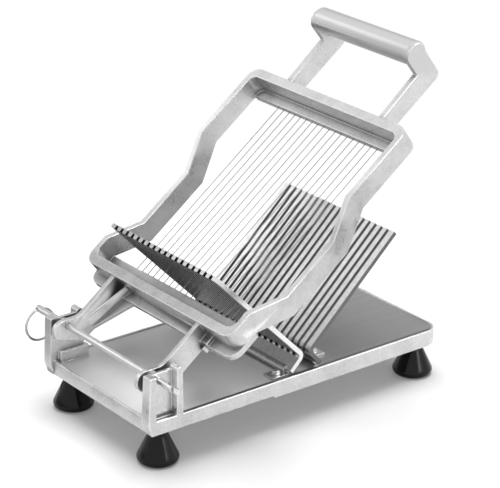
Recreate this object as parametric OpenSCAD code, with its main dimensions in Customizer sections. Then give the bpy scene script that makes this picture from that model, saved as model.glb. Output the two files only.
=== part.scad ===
// Hand-lever wire slicer: a hinged frame of tight wires swings down through a slotted bed on a cast base.
// X runs across the base, Y from the hinge end to the rear, Z up from the surface that it stands on.

/* [Base] */
// Width over the base and the hinge posts
base_w = 188; // [176:1:210]
// Length from the post fronts to the rear edge
base_l = 386; // [370:1:440]
// Depth of the skirt, from its lower edge to the rim
skirt_h = 15.5; // [12:0.5:22]
// Thickness of the skirt walls
skirt_t = 4; // [3:0.5:6]
// Thickness of the top plate
plate_t = 4; // [3:0.5:6]
// Width of the raised rim
rim_t = 2.5; // [2:0.1:3.5]
// Height of the rim above the plate
rim_rise = 2; // [1:0.5:4]
// Radius of the two rear corners
corner_r = 18; // [8:1:28]
// Extra depth of the skirt behind its step
step_h = 2.5; // [1:0.5:4]
// Distance from the post fronts to the step
step_y = 156; // [120:1:240]

/* [Hinge posts] */
// Width of a post
post_w = 12.5; // [10:0.5:14]
// Length of a post at its top
post_l = 39.5; // [34:0.5:48]
// Height of a post above the rim
post_h = 48; // [46:0.5:60]
// Thickness of the inner wall of a post
post_wall = 4; // [3:0.5:6]
// Thickness of the flanges of a post
post_flange = 7.5; // [5:0.5:9]
// Distance by which the front of a post leans out at its foot
post_draft = 2; // [0:0.5:3]
// Distance that the posts stand proud of the front wall
post_lead = 2.5; // [1:0.5:4]
// Width of the stop ledge inside a post
ledge_w = 5; // [4:0.5:8]
// Distance that a stop ledge runs on behind its post
ledge_over = 3.5; // [2.5:0.5:6]

/* [Hinge pin] */
// Distance from the post fronts to the hinge axis
hinge_setback = 14; // [12:0.5:18]
// Height of the hinge axis above the rim
hinge_rise = 41.2; // [38:0.1:44]
// Diameter of the hinge pin
pin_d = 7.2; // [5:0.1:8]
// Radial play of the pin in its bores
pin_play = 0.05; // [0.02:0.01:0.1]
// Length of the pin past the left post
pin_out_left = 34; // [28:1:40]
// Length of the pin past the right post
pin_out_right = 18; // [16:1:26]
// Mean radius of the pull ring
ring_r = 17.6; // [15:0.2:20]
// Diameter of the pull ring wire
ring_wire = 2.6; // [1.6:0.1:2.6]
// Length of the locking tab
tab_l = 15.5; // [13:0.5:18]
// Thickness of the locking tab
tab_t = 1.8; // [1.4:0.1:2]

/* [Feet] */
// Height of a foot
foot_h = 42; // [36:1:50]
// Largest diameter of a foot
foot_d = 43.5; // [38:0.5:46]
// Diameter of the neck of a foot
foot_neck = 18.5; // [16:0.5:22]
// Radius of the rounded lower edge of a foot
foot_round = 5.5; // [3:0.5:7]
// Lean of the sides of a foot
foot_lean = 25.5; // [20:0.5:30]
// Distance from the foot centres to the sides of the base
foot_side = 18.5; // [16:0.5:24]
// Distance from the foot centres to the ends of the base
foot_end = 22; // [18:0.5:30]
// Depth by which the necks reach up inside the skirt
foot_tuck = 3; // [2:0.5:5]
// Diameter of a foot stud
stud_d = 6; // [5:0.5:8]

/* [Cutting frame] */
// Angle of the frame above level, as it stands raised
arm_angle = 37; // [30:1:50]
// Angle of the frame above level, when it is lowered onto its stops
low_angle = 1.2; // [0:0.1:2]
// Width over the two rails
frame_w = 250; // [240:1:270]
// Thickness of a rail
rail_t = 7; // [5:0.5:9]
// Depth of a rail
rail_d = 24.5; // [20:0.5:28]
// Drop of the middle of a rail
dip = 23.5; // [18:0.5:26]
// Length of each of the two bends of a rail
dip_run = 41; // [36:0.5:46]
// Distance from the near bar to the first bend of a rail
dip_near = 22; // [16:0.5:28]
// Distance from the far bar to the second bend of a rail
dip_far = 85; // [76:0.5:94]
// Distance from the hinge axis to the near bar
near_bar = 71; // [68:0.5:78]
// Thickness of the near bar
near_bar_t = 11.5; // [9:0.5:12]
// Length of the window between the bars
window_l = 261.5; // [258:0.5:270]
// Thickness of the far bar
far_bar_t = 11; // [9:0.5:14]
// Outer corner radius of the frame
frame_r = 14; // [10:0.5:18]
// Corner radius of the window
window_r = 9; // [4:0.5:9]
// Thickness of a leg
leg_t = 5.5; // [5:0.5:8]
// Thickness of the gussets between the legs and the near bar
gusset_t = 4.5; // [3:0.5:6]
// Length of a gusset along the near bar
gusset_w = 24; // [16:1:30]
// Width of the lip in front of the near bar
flange_lead = 10.5; // [8:0.5:12]
// Width of the lip on the window side of the near bar
near_lip = 14.5; // [13:0.5:16]
// Width of the lip on the window side of the far bar
far_lip = 11.6; // [10:0.1:13]
// Thickness of the lips
lip_t = 7; // [6:0.5:9]

/* [Handle] */
// Diameter of the grip
grip_d = 26; // [22:0.5:30]
// Length of the grip
grip_l = 155; // [150:1:160]
// Radius of the rounded ends of the grip
grip_round = 4; // [3:0.5:8]
// Distance from the hinge axis to the grip, along the frame
grip_reach = 430; // [420:1:450]
// Height of the grip above the frame
grip_rise = 14.4; // [10:0.2:20]
// Distance over the two uprights
upright_w = 156; // [150:1:165]
// Thickness of an upright
upright_t = 7; // [5:0.5:9]
// Depth of an upright
upright_d = 21; // [18:0.5:24]
// Thickness of the web under the grip
web_t = 10; // [8:0.5:12]
// Depth of the web below the middle of the grip
web_d = 22; // [18:0.5:24]

/* [Wires] */
// Number of wires, an even number
wire_n = 18; // [16:2:18]
// Spacing of the wires
pitch = 9.5; // [9:0.1:9.8]
// Diameter of a wire
wire_d = 0.9; // [0.6:0.1:1.2]
// Distance from the hinge axis down to the wires
wire_drop = 27; // [26:0.5:28]
// Thickness of metal under the wires
lip_under = 2.5; // [2:0.1:3]
// Diameter of a tension screw
screw_d = 4; // [4:0.5:5]

/* [Bed] */
// Width of the bed plates
bed_w = 180; // [176:1:182]
// Thickness of the bed plates
bed_t = 5; // [4:0.5:6]
// Width of a slot
slot_w = 3.6; // [3:0.1:4.2]
// Depth of the slots below the lowered wires
slot_spare = 1.6; // [1.2:0.1:2.4]
// Slope of the front plate
front_slope = 45; // [43:0.5:47]
// Slope of the rear plate
rear_slope = 43; // [41:0.5:46]
// Length of the front plate above its fold
front_up = 155; // [140:1:158]
// Length of the rear plate above its fold
rear_up = 149; // [130:1:150]
// Distance from the post fronts to the middle of the bed
bed_y = 200.5; // [199:0.5:204]
// Gap between the two folds
fold_gap = 8; // [6:0.5:12]
// Height of the front fold above the plate
front_fold_rise = 20; // [19:0.5:22]
// Height of the rear fold above the plate
rear_fold_rise = 21.5; // [20:0.5:23]
// Outer radius of a fold
fold_r = 8; // [7:0.5:9]
// Diameter of the bead along the foot of a bed plate
bead_d = 9; // [8:0.5:10]
// Distance from the ends of a bead to the ends of its plate
bead_in = 8; // [4:0.5:12]
// Distance from the middle of a front lug to the end of its plate
front_lug_in = 11; // [10:0.5:16]
// Distance from the middle of a rear lug to the end of its plate
rear_lug_in = 28; // [20:0.5:40]
// Length of a fixing lug
lug_l = 22; // [20:0.5:24]
// Width of a fixing lug
lug_w = 16; // [14:0.5:18]
// Thickness of a fixing lug
lug_t = 2.5; // [2:0.5:4]
// Distance from the outer end of a lug to its bolt
lug_bolt_in = 10; // [8:0.5:12]
// Diameter of a bed bolt
bolt_d = 5; // [4:0.5:6]

/* [Hidden] */
$fn = 64;

eps = 0.01;
over = 1;
hole_play = 0.2;
side_play = 0.5;
stop_gap = 0.5;
seat_gap = 0.3;

// Levels of the base, from the floor up
skirt_z = foot_h - foot_tuck;
rim_z = skirt_z + skirt_h;
plate_z = rim_z - rim_rise;
under_z = plate_z - plate_t;
post_z = rim_z + post_h;
post_in = base_w / 2 - post_w;
post_foot_drop = 2;
post_foot_z = rim_z - post_foot_drop;
post_foot_back = 2;
pocket_floor = 7;
pocket_z = skirt_z + pocket_floor;
ledge_front = 8;
flange_bump = post_flange / 2;

// Hinge axis
hinge_y = hinge_setback;
hinge_z = rim_z + hinge_rise;
bore_r = pin_d / 2 + pin_play;
hub_out = post_in - side_play;
hub_top = 11.5;
hub_end = 20;
hub_boss_r = 6;
nose_r = 11;
nose_y = -7.7;
nose_low = 220;
nose_steps = 10;
heel = 3;
toe_l = 9;
toe_h = 7;

// Arm levels, measured from the hinge axis across the frame
lip_low = -(wire_drop + lip_under);
leg_top = -2.5;
ledge_z = hinge_z + lip_low * cos(low_angle) + heel * sin(low_angle) - stop_gap;

// Arm stations, measured from the hinge axis along the frame
window_near = near_bar + near_bar_t;
window_far = window_near + window_l;
frame_far = window_far + far_bar_t;
flange_near = near_bar - flange_lead;
lip_near = window_near + near_lip;
lip_far = window_far - far_lip;
dip_start = window_near + dip_near;
dip_end = window_far - dip_far;
dip_miter = rail_d * tan(atan2(dip, dip_run) / 2);
rail_in = frame_w / 2 - rail_t;
rail_end_r = 8;
lip_short = 4;

// Grooves behind the lips, where the wire turns back
groove_w = pitch / 2 + wire_d + 1.5;
groove_top = -wire_drop + 2;
wire_hole_r = wire_d / 2 + 0.25;
near_turn = window_near + 7.5;
far_turn = window_far - 3;
wire_x0 = -(wire_n - 1) / 2 * pitch;
leg_gap = 0.75;
leg_in = -wire_x0 - screw_d - leg_gap - leg_t;

// Tension screws, in line with the two outer wires
boss_w = screw_d + 7;
boss_top = -wire_drop + boss_w / 2 + 3;
boss_low = -wire_drop - boss_w / 2;
screw_tip = window_near + 3.5;
screw_socket = 4;
screw_head = 3.5;
screw_washer_t = 1;

// Handle
grip_r = grip_d / 2;
upright_out = upright_w / 2;
upright_in = upright_out - upright_t;
upright_top = -7.5;
upright_low = upright_top - upright_d;
elbow = grip_reach + 9.5;
elbow_r = 7;

// Bed
bead_z = bead_d / 2 + seat_gap;
fold_mid = fold_r - bed_t / 2;
front_fold_y = bed_y - fold_gap / 2 - fold_r;
rear_fold_y = bed_y + fold_gap / 2 + fold_r;
low_reach = front_fold_y - hinge_y;
slot_floor = hinge_z + low_reach * sin(low_angle) - wire_drop * cos(low_angle) - slot_spare;
front_lug_x = bed_w / 2 - front_lug_in;
rear_lug_x = bed_w / 2 - rear_lug_in;
lug_bolt = lug_l - lug_bolt_in;
bolt_head_d = bolt_d * 1.85;
bolt_head_t = bolt_d * 0.7;
washer_d = bolt_d * 2;
washer_t = 1;
nut_t = bolt_d * 0.8;
bolt_tail = 2;

// Feet
foot_x = base_w / 2 - foot_side;
foot_ys = [foot_end, base_l - foot_end];
boss_d = foot_neck;
foot_play = 0.5;
stud_in_foot = 14;
stud_in_base = under_z + plate_t / 2 - foot_h;
edge_steps = 8;
foot_cone = foot_d / 2 - foot_round * (1 - cos(foot_lean)) - foot_neck / 2;
foot_cone_z = foot_round * (1 + sin(foot_lean)) + foot_cone / tan(foot_lean);

// Hinge pin ends
pin_left = -base_w / 2 - pin_out_left;
pin_right = base_w / 2 + pin_out_right;
ring_x = pin_left + 3.4;
ring_hole_r = ring_wire / 2 + 0.7;
tab_w = pin_d - 0.8;
tab_tail = 3;
tab_slot = 8;
rivet_d = 2;
tab_pivot = pin_right - 3;

// The part stands with the middle of its outline over the origin
front_reach = ring_r + ring_wire / 2 - hinge_y;
centre_y = (base_l - front_reach) / 2;

// Length of the lower leg of a bed plate of this slope, from its fold at the height rise down to its bead
function leg_down(slope, rise) = (rise - fold_mid * sin(slope) - bead_z) / cos(slope);
// Distance from that fold's centre back to the bead
function bead_back(slope, rise) = leg_down(slope, rise) * sin(slope) - fold_mid * cos(slope);
// Point at the angle a on the rounded lower edge of a foot
function foot_rim(a) = [foot_d / 2 - foot_round + foot_round * cos(a), foot_round + foot_round * sin(a)];
// Point at the angle a on the nose of a hub
function nose(a) = [nose_y + nose_r * cos(a), hub_top - nose_r + nose_r * sin(a)];
// Point at the share t of the easy curve from the top of a hub down to its leg
function hub_curve(t) = [nose_y + (hub_end - nose_y) * t, hub_top + (leg_top - hub_top) * (1 - cos(180 * t)) / 2];

// Carries a profile drawn as (y, z) from x0 to x1
module along_x(x0, x1) {
    translate([x0, 0, 0])
        rotate([90, 0, 90])
            linear_extrude(x1 - x0)
                children();
}

// Copies its children to the right and the left
module both_sides() {
    children();
    mirror([1, 0, 0])
        children();
}

// Moves from the post fronts to the middle of the part
module placed() {
    translate([0, -centre_y, 0])
        children();
}

// Moves from the hinge axis, with Y along the frame and Z across it, to the raised arm
module arm() {
    placed()
        translate([0, hinge_y, hinge_z])
            rotate([arm_angle, 0, 0])
                children();
}

// Rectangle from (x0, y0) to (x1, y1) with corners of radius r
module rounded(x0, y0, x1, y1, r) {
    translate([x0 + r, y0])
        square([x1 - x0 - 2 * r, y1 - y0]);
    translate([x0, y0 + r])
        square([x1 - x0, y1 - y0 - 2 * r]);
    for (x = [x0 + r, x1 - r], y = [y0 + r, y1 - r])
        translate([x, y])
            circle(r);
}

// Plan of the base, drawn in by the distance d, with round corners at the rear
module base_plan(d) {
    w = base_w / 2 - d;
    r = corner_r - d;
    translate([-w, post_lead + d])
        square([2 * w, base_l - corner_r - post_lead - d]);
    translate([-w + r, post_lead + d])
        square([2 * (w - r), base_l - post_lead - 2 * d]);
    for (x = [-w + r, w - r])
        translate([x, base_l - corner_r])
            circle(r);
}

// Places a child at each foot
module at_feet() {
    for (x = [-foot_x, foot_x], y = foot_ys)
        translate([x, y, 0])
            children();
}

// Side view of a hinge post
module post_side() {
    polygon([
        [0, post_z], [post_l, post_z], [post_l + post_draft / 2, skirt_z],
        [post_foot_back, skirt_z], [-post_draft, post_foot_z]
    ]);
    translate([post_l - post_flange / 2, post_z])
        circle(flange_bump);
}

module hinge_post() {
    difference() {
        union() {
            along_x(post_in, base_w / 2)
                post_side();
            translate([post_in - ledge_w, ledge_front, under_z])
                cube([ledge_w + post_wall / 2, post_l + ledge_over - ledge_front, ledge_z - under_z]);
        }
        translate([post_in + post_wall, post_flange, pocket_z])
            cube([post_w, post_l - 2 * post_flange, post_z]);
        translate([post_in - over, hinge_y, hinge_z])
            rotate([0, 90, 0])
                cylinder(r = bore_r, h = post_wall + 2 * over);
    }
}

// Tray of the base: a plate with a raised rim and a skirt that is deeper behind its step
module base_tray() {
    difference() {
        union() {
            translate([0, 0, skirt_z])
                linear_extrude(skirt_h)
                    base_plan(0);
            translate([0, 0, skirt_z - step_h])
                intersection() {
                    linear_extrude(step_h + over)
                        base_plan(0);
                    translate([-base_w, step_y, 0])
                        cube([2 * base_w, base_l, step_h + over]);
                }
        }
        translate([0, 0, plate_z])
            linear_extrude(skirt_h)
                base_plan(rim_t);
        translate([0, 0, skirt_z - step_h - over])
            linear_extrude(under_z - skirt_z + step_h + over)
                base_plan(skirt_t);
    }
}

module base_casting() {
    color("lightgray")
        placed()
            difference() {
                union() {
                    base_tray();
                    both_sides()
                        hinge_post();
                    at_feet()
                        translate([0, 0, foot_h])
                            cylinder(d = boss_d, h = under_z - foot_h + eps);
                }
                at_feet()
                    translate([0, 0, foot_h - over])
                        cylinder(d = stud_d, h = stud_in_base + over);
                at_feet()
                    translate([0, 0, skirt_z - over])
                        cylinder(d = foot_neck + 2 * foot_play, h = foot_tuck + over);
                at_bed_bolts()
                    translate([0, 0, under_z - over])
                        cylinder(d = bolt_d + 2 * hole_play, h = plate_t + 2 * over);
            }
}

// Rubber foot: a cone with a rounded lower edge, drilled for its stud
module foot(x, y) {
    color("black")
        placed()
            translate([x, y, 0])
                difference() {
                    rotate_extrude()
                        polygon(concat(
                            [[0, 0]],
                            [for (i = [0:edge_steps]) foot_rim(-90 + (90 + foot_lean) * i / edge_steps)],
                            [[foot_neck / 2, foot_cone_z], [foot_neck / 2, foot_h], [0, foot_h]]
                        ));
                    translate([0, 0, foot_h - stud_in_foot])
                        cylinder(d = stud_d, h = stud_in_foot + over);
                }
}

module foot_studs() {
    color("silver")
        placed()
            at_feet()
                translate([0, 0, foot_h - stud_in_foot])
                    cylinder(d = stud_d, h = stud_in_foot + stud_in_base);
}

// Corner of radius r about the fold centre, with the upper leg to the left and the lower leg below
module fold_outline(up, down, r) {
    circle(r);
    translate([-up, -down])
        square([up, down + r]);
    translate([-up, -down])
        square([up + r, down]);
}

// Bed plate over the middle of its fold, with a bead and two lugs at its foot and a slot for each wire
module bed_plate(up, slope, rise, lug_x) {
    down = leg_down(slope, rise);
    back = bead_back(slope, rise);
    difference() {
        union() {
            translate([0, 0, rise])
                rotate([-slope, 0, 0]) {
                    along_x(-bed_w / 2, bed_w / 2)
                        difference() {
                            fold_outline(up, down, fold_r);
                            fold_outline(up + over, down + over, fold_r - bed_t);
                        }
                    along_x(-bed_w / 2 + bead_in, bed_w / 2 - bead_in)
                        translate([fold_mid, -down])
                            circle(d = bead_d);
                }
            both_sides()
                translate([lug_x - lug_w / 2, -back - lug_l, 0])
                    cube([lug_w, lug_l, lug_t]);
        }
        for (i = [0:wire_n - 1])
            translate([wire_x0 + i * pitch - slot_w / 2, -up - fold_r, slot_floor - plate_z])
                cube([slot_w, up + 3 * fold_r, up + 3 * fold_r]);
        both_sides()
            translate([lug_x, -back - lug_bolt, -over])
                cylinder(d = bolt_d + 2 * hole_play, h = lug_t + 2 * over);
    }
}

module front_bed_plate() {
    color("silver")
        placed()
            translate([0, front_fold_y, plate_z])
                bed_plate(front_up, front_slope, front_fold_rise, front_lug_x);
}

module rear_bed_plate() {
    color("silver")
        placed()
            translate([0, rear_fold_y, plate_z])
                mirror([0, 1, 0])
                    bed_plate(rear_up, rear_slope, rear_fold_rise, rear_lug_x);
}

// Places a child at each bolt of the bed
module at_bed_bolts() {
    front_y = front_fold_y - bead_back(front_slope, front_fold_rise) - lug_bolt;
    rear_y = rear_fold_y + bead_back(rear_slope, rear_fold_rise) + lug_bolt;
    for (side = [-1, 1]) {
        translate([side * front_lug_x, front_y, 0])
            children();
        translate([side * rear_lug_x, rear_y, 0])
            children();
    }
}

module bed_bolts() {
    grip = washer_t + lug_t + plate_t + nut_t + bolt_tail;
    color("gainsboro")
        placed()
            at_bed_bolts() {
                translate([0, 0, plate_z + lug_t + washer_t])
                    cylinder(d = bolt_head_d, h = bolt_head_t, $fn = 6);
                translate([0, 0, plate_z + lug_t + washer_t - grip])
                    cylinder(d = bolt_d, h = grip + eps);
            }
}

module bed_washers() {
    color("gainsboro")
        placed()
            at_bed_bolts()
                translate([0, 0, plate_z + lug_t])
                    difference() {
                        cylinder(d = washer_d, h = washer_t);
                        translate([0, 0, -over])
                            cylinder(d = bolt_d + 2 * hole_play, h = washer_t + 2 * over);
                    }
}

module bed_nuts() {
    color("gainsboro")
        placed()
            at_bed_bolts()
                translate([0, 0, under_z - nut_t])
                    difference() {
                        cylinder(d = bolt_head_d, h = nut_t, $fn = 6);
                        translate([0, 0, -over])
                            cylinder(d = bolt_d, h = nut_t + 2 * over);
                    }
}

// Side view of the rails: level at both ends, dropped in the middle, with a round lower corner at the far end
module rail_side() {
    polygon([
        [near_bar, 0], [dip_start, 0], [dip_start + dip_run, -dip],
        [dip_end - dip_run, -dip], [dip_end, 0], [frame_far, 0],
        [frame_far, rail_end_r - rail_d], [frame_far - rail_end_r, -rail_d], [dip_end + dip_miter, -rail_d],
        [dip_end - dip_run + dip_miter, -dip - rail_d], [dip_start + dip_run - dip_miter, -dip - rail_d],
        [dip_start - dip_miter, -rail_d], [near_bar, -rail_d]
    ]);
    translate([frame_far - rail_end_r, rail_end_r - rail_d])
        circle(rail_end_r);
}

// Rails and bars: the outline of the frame less its window, in the side view of the rails
module frame_ring() {
    intersection() {
        along_x(-frame_w / 2, frame_w / 2)
            rail_side();
        translate([0, 0, -dip - rail_d - over])
            linear_extrude(dip + rail_d + 2 * over)
                difference() {
                    rounded(-frame_w / 2, near_bar, frame_w / 2, frame_far, frame_r);
                    rounded(-rail_in, window_near, rail_in, window_far, window_r);
                }
    }
}

// Lips that hold the wires: a flange under the near bar and a ledge under the far bar
module wire_lips() {
    translate([0, 0, lip_low])
        linear_extrude(lip_t) {
            rounded(-frame_w / 2, flange_near, frame_w / 2, lip_near, frame_r);
            translate([-frame_w / 2, window_near])
                square([frame_w, near_lip]);
            translate([-rail_in - over, lip_far])
                square([2 * (rail_in + over), far_lip + far_bar_t / 2]);
            intersection() {
                rounded(-frame_w / 2, near_bar, frame_w / 2, frame_far, frame_r);
                translate([-rail_in, window_far])
                    square([2 * rail_in, far_bar_t - lip_short]);
            }
        }
    translate([-frame_w / 2 + frame_r, near_bar, lip_low])
        cube([frame_w - 2 * frame_r, near_bar_t, -lip_low]);
}

// Side view of a leg: a round hub about the hinge axis and a deep arm to the near bar
module leg_side() {
    reach = window_near - over;
    polygon(concat(
        [[reach, lip_low], [heel, lip_low]],
        [for (i = [0:nose_steps]) nose(nose_low - (nose_low - 90) * i / nose_steps)],
        [for (i = [1:nose_steps]) hub_curve(i / nose_steps)],
        [[reach, leg_top]]
    ));
}

// Leg with the boss of its hub, the toe that meets the stop, its triangular gusset and the rib on the gusset
module frame_leg() {
    along_x(leg_in, leg_in + leg_t)
        leg_side();
    translate([leg_in + leg_t / 2, 0, 0])
        rotate([0, 90, 0])
            cylinder(r = hub_boss_r, h = hub_out - leg_in - leg_t / 2);
    translate([leg_in + leg_t / 2, heel, lip_low])
        cube([hub_out - leg_in - leg_t / 2, toe_l, toe_h]);
    translate([0, 0, lip_low])
        linear_extrude(gusset_t)
            polygon([
                [leg_in + over, hub_end], [leg_in + over, near_bar],
                [leg_in - gusset_w, near_bar], [leg_in - gusset_w, flange_near], [leg_in, hub_end - 2]
            ]);
    translate([leg_in, hub_end, lip_low])
        rotate([0, 0, atan2(gusset_w / 2, near_bar - hub_end)])
            cube([gusset_t / 1.5, near_bar - hub_end + over, gusset_t * 3.5]);
}

// Boss for a tension screw at the root of a leg
module screw_boss() {
    translate([-wire_x0 - boss_w / 2, flange_near, boss_low])
        cube([boss_w, window_near - flange_near, boss_top - boss_low]);
}

// Half section of the grip: a rod with round ends, turned about its own axis
module grip_half() {
    intersection() {
        union() {
            for (y = [-grip_l / 2 + grip_round, grip_l / 2 - grip_round])
                translate([grip_r - grip_round, y])
                    circle(grip_round);
            translate([0, -grip_l / 2 + grip_round])
                square([grip_r, grip_l - 2 * grip_round]);
            translate([0, -grip_l / 2])
                square([grip_r - grip_round, grip_l]);
        }
        translate([0, -grip_l])
            square([grip_d, 2 * grip_l]);
    }
}

// Side view of a handle upright, turned up at its elbow to the grip
module upright_side() {
    root = frame_far - far_bar_t / 2;
    top_r = grip_r - 1.5;
    polygon([
        [root, upright_top], [grip_reach - grip_r, upright_top + 3], [elbow - 2 * top_r, grip_rise],
        [elbow, grip_rise], [elbow, upright_low + elbow_r], [elbow - elbow_r, upright_low], [root, upright_low]
    ]);
    translate([elbow - elbow_r, upright_low + elbow_r])
        circle(elbow_r);
    translate([elbow - top_r, grip_rise])
        circle(top_r);
}

module handle() {
    translate([0, grip_reach, grip_rise])
        rotate([0, 90, 0])
            rotate_extrude()
                grip_half();
    both_sides()
        along_x(upright_in, upright_out)
            upright_side();
    along_x(-upright_in - over, upright_in + over) {
        translate([grip_reach - web_t / 2 - 1, grip_rise - web_d + web_t / 2])
            square([web_t, web_d - web_t / 2]);
        translate([grip_reach - 1, grip_rise - web_d + web_t / 2])
            circle(d = web_t);
    }
}

// Holes, grooves and bores that the frame is cut with
module frame_cuts() {
    for (i = [0:wire_n - 1])
        translate([wire_x0 + i * pitch, 0, -wire_drop])
            rotate([-90, 0, 0]) {
                translate([0, 0, near_turn - over])
                    cylinder(r = wire_hole_r, h = lip_near - near_turn + 2 * over);
                translate([0, 0, lip_far - over])
                    cylinder(r = wire_hole_r, h = far_turn - lip_far + 2 * over);
            }
    translate([wire_x0 - pitch, near_turn - groove_w, lip_low - over])
        cube([2 * (pitch - wire_x0), groove_w, groove_top - lip_low + over]);
    translate([wire_x0 - pitch, far_turn, lip_low - over])
        cube([2 * (pitch - wire_x0), groove_w, groove_top - lip_low + over]);
    for (x = [wire_x0, -wire_x0])
        translate([x, flange_near - over, -wire_drop])
            rotate([-90, 0, 0])
                cylinder(d = screw_d + 2 * hole_play, h = screw_tip - flange_near + 2 * over);
    translate([-hub_out - over, 0, 0])
        rotate([0, 90, 0])
            cylinder(r = bore_r, h = 2 * (hub_out + over));
}

module cutting_frame() {
    color("lightgray")
        arm()
            difference() {
                union() {
                    frame_ring();
                    wire_lips();
                    both_sides() {
                        frame_leg();
                        screw_boss();
                    }
                    handle();
                }
                frame_cuts();
            }
}

// Straight wires; the two outer ones end in the tips of the tension screws
module cutting_wires() {
    color("whitesmoke")
        arm()
            for (i = [0:wire_n - 1]) {
                start = i == 0 || i == wire_n - 1 ? screw_tip - screw_socket : near_turn;
                translate([wire_x0 + i * pitch, start, -wire_drop])
                    rotate([-90, 0, 0])
                        cylinder(d = wire_d, h = far_turn - start);
            }
}

// Half ring of wire from one straight wire to the next
module wire_turn() {
    rotate_extrude(angle = 180)
        translate([pitch / 2, 0])
            circle(d = wire_d);
}

module wire_turns() {
    color("whitesmoke")
        arm()
            translate([0, 0, -wire_drop]) {
                for (i = [0:2:wire_n - 2])
                    translate([wire_x0 + (i + 0.5) * pitch, far_turn, 0])
                        wire_turn();
                for (i = [1:2:wire_n - 3])
                    translate([wire_x0 + (i + 0.5) * pitch, near_turn, 0])
                        mirror([0, 1, 0])
                            wire_turn();
            }
}

// Places a child on the axis of each tension screw, with Z along the frame
module at_tension_screws() {
    for (x = [wire_x0, -wire_x0])
        translate([x, flange_near, -wire_drop])
            rotate([-90, 0, 0])
                children();
}

module tension_screws() {
    shank = screw_tip - flange_near + screw_washer_t;
    color("gainsboro")
        arm()
            at_tension_screws()
                difference() {
                    union() {
                        translate([0, 0, -screw_washer_t - screw_head])
                            cylinder(d = screw_d * 1.85, h = screw_head, $fn = 6);
                        translate([0, 0, -screw_washer_t - eps])
                            cylinder(d = screw_d, h = shank + eps);
                    }
                    translate([0, 0, screw_tip - flange_near - screw_socket])
                        cylinder(d = wire_d, h = screw_socket + over);
                }
}

module tension_washers() {
    color("gainsboro")
        arm()
            at_tension_screws()
                translate([0, 0, -screw_washer_t])
                    difference() {
                        cylinder(d = screw_d * 2, h = screw_washer_t);
                        translate([0, 0, -over])
                            cylinder(d = screw_d + 2 * hole_play, h = screw_washer_t + 2 * over);
                    }
}

// Moves to the hinge axis
module on_axis() {
    placed()
        translate([0, hinge_y, hinge_z])
            children();
}

module hinge_pin() {
    color("gainsboro")
        on_axis()
            difference() {
                translate([pin_left, 0, 0])
                    rotate([0, 90, 0])
                        cylinder(d = pin_d, h = pin_right - pin_left);
                translate([ring_x, 0, 0])
                    rotate([90, 0, 0])
                        cylinder(r = ring_hole_r, h = 2 * pin_d, center = true);
                translate([pin_right - tab_slot, -tab_t / 2 - hole_play / 2, -pin_d])
                    cube([tab_slot + over, tab_t + hole_play, 2 * pin_d]);
                translate([tab_pivot, 0, 0])
                    rotate([90, 0, 0])
                        cylinder(d = rivet_d, h = 2 * pin_d, center = true);
            }
}

module pull_ring() {
    color("silver")
        on_axis()
            translate([ring_x, 0, -ring_r])
                rotate([0, 90, 0])
                    rotate_extrude()
                        translate([ring_r, 0])
                            circle(d = ring_wire);
}

module locking_tab() {
    color("gainsboro")
        on_axis()
            difference() {
                translate([tab_pivot - tab_tail, -tab_t / 2, -tab_w / 2])
                    cube([tab_l, tab_t, tab_w]);
                translate([tab_pivot, 0, 0])
                    rotate([90, 0, 0])
                        cylinder(r = rivet_d / 2 + pin_play, h = 2 * pin_d, center = true);
            }
}

module tab_rivet() {
    color("silver")
        on_axis()
            translate([tab_pivot, 0, 0])
                rotate([90, 0, 0])
                    cylinder(d = rivet_d, h = pin_d - 0.4, center = true);
}

base_casting();
foot(-foot_x, foot_ys[0]);  // front_left_foot
foot(foot_x, foot_ys[0]);  // front_right_foot
foot(-foot_x, foot_ys[1]);  // rear_left_foot
foot(foot_x, foot_ys[1]);  // rear_right_foot
foot_studs();
front_bed_plate();
rear_bed_plate();
bed_bolts();
bed_washers();
bed_nuts();
cutting_frame();
cutting_wires();
wire_turns();
tension_screws();
tension_washers();
hinge_pin();
pull_ring();
locking_tab();
tab_rivet();
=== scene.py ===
import math
import bmesh
import bpy
import numpy as np
from mathutils import Matrix, Vector


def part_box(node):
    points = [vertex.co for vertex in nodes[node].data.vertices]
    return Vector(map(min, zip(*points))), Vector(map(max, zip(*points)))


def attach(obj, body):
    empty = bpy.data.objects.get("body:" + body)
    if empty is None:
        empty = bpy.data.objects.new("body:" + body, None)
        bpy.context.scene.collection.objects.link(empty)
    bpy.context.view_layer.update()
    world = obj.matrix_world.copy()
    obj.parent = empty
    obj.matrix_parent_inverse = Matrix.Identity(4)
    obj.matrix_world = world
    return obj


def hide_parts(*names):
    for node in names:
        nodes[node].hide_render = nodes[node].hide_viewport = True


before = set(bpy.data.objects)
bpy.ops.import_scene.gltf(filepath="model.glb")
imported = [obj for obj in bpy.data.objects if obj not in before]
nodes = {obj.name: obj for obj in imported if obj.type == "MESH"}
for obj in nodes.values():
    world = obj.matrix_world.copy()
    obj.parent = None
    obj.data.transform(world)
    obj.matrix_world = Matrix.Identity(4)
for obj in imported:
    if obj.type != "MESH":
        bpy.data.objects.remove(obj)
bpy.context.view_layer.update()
scene = bpy.context.scene
scene.view_settings.view_transform = "Standard"
mm = 0.001
tiny = 1e-9
print("frame loaded with", len(nodes), "nodes")

# Places taken over from the part, in millimetres from the post fronts and the floor
layout = {"centreY": 190.55, "hingeY": 14.0, "hingeZ": 95.7, "armAngle": 37.0, "trayZ": 52.5, "underZ": 48.5,
          "wireCount": 18, "wirePitch": 9.5}
armTurn = math.radians(layout["armAngle"])
firstX = -(layout["wireCount"] - 1) / 2 * layout["wirePitch"]


def place(points):
    # from the post fronts, in millimetres, to the row frame in metres
    p = np.asarray(points, float)
    return (p - np.array([0.0, layout["centreY"], 0.0])) * mm


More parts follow.
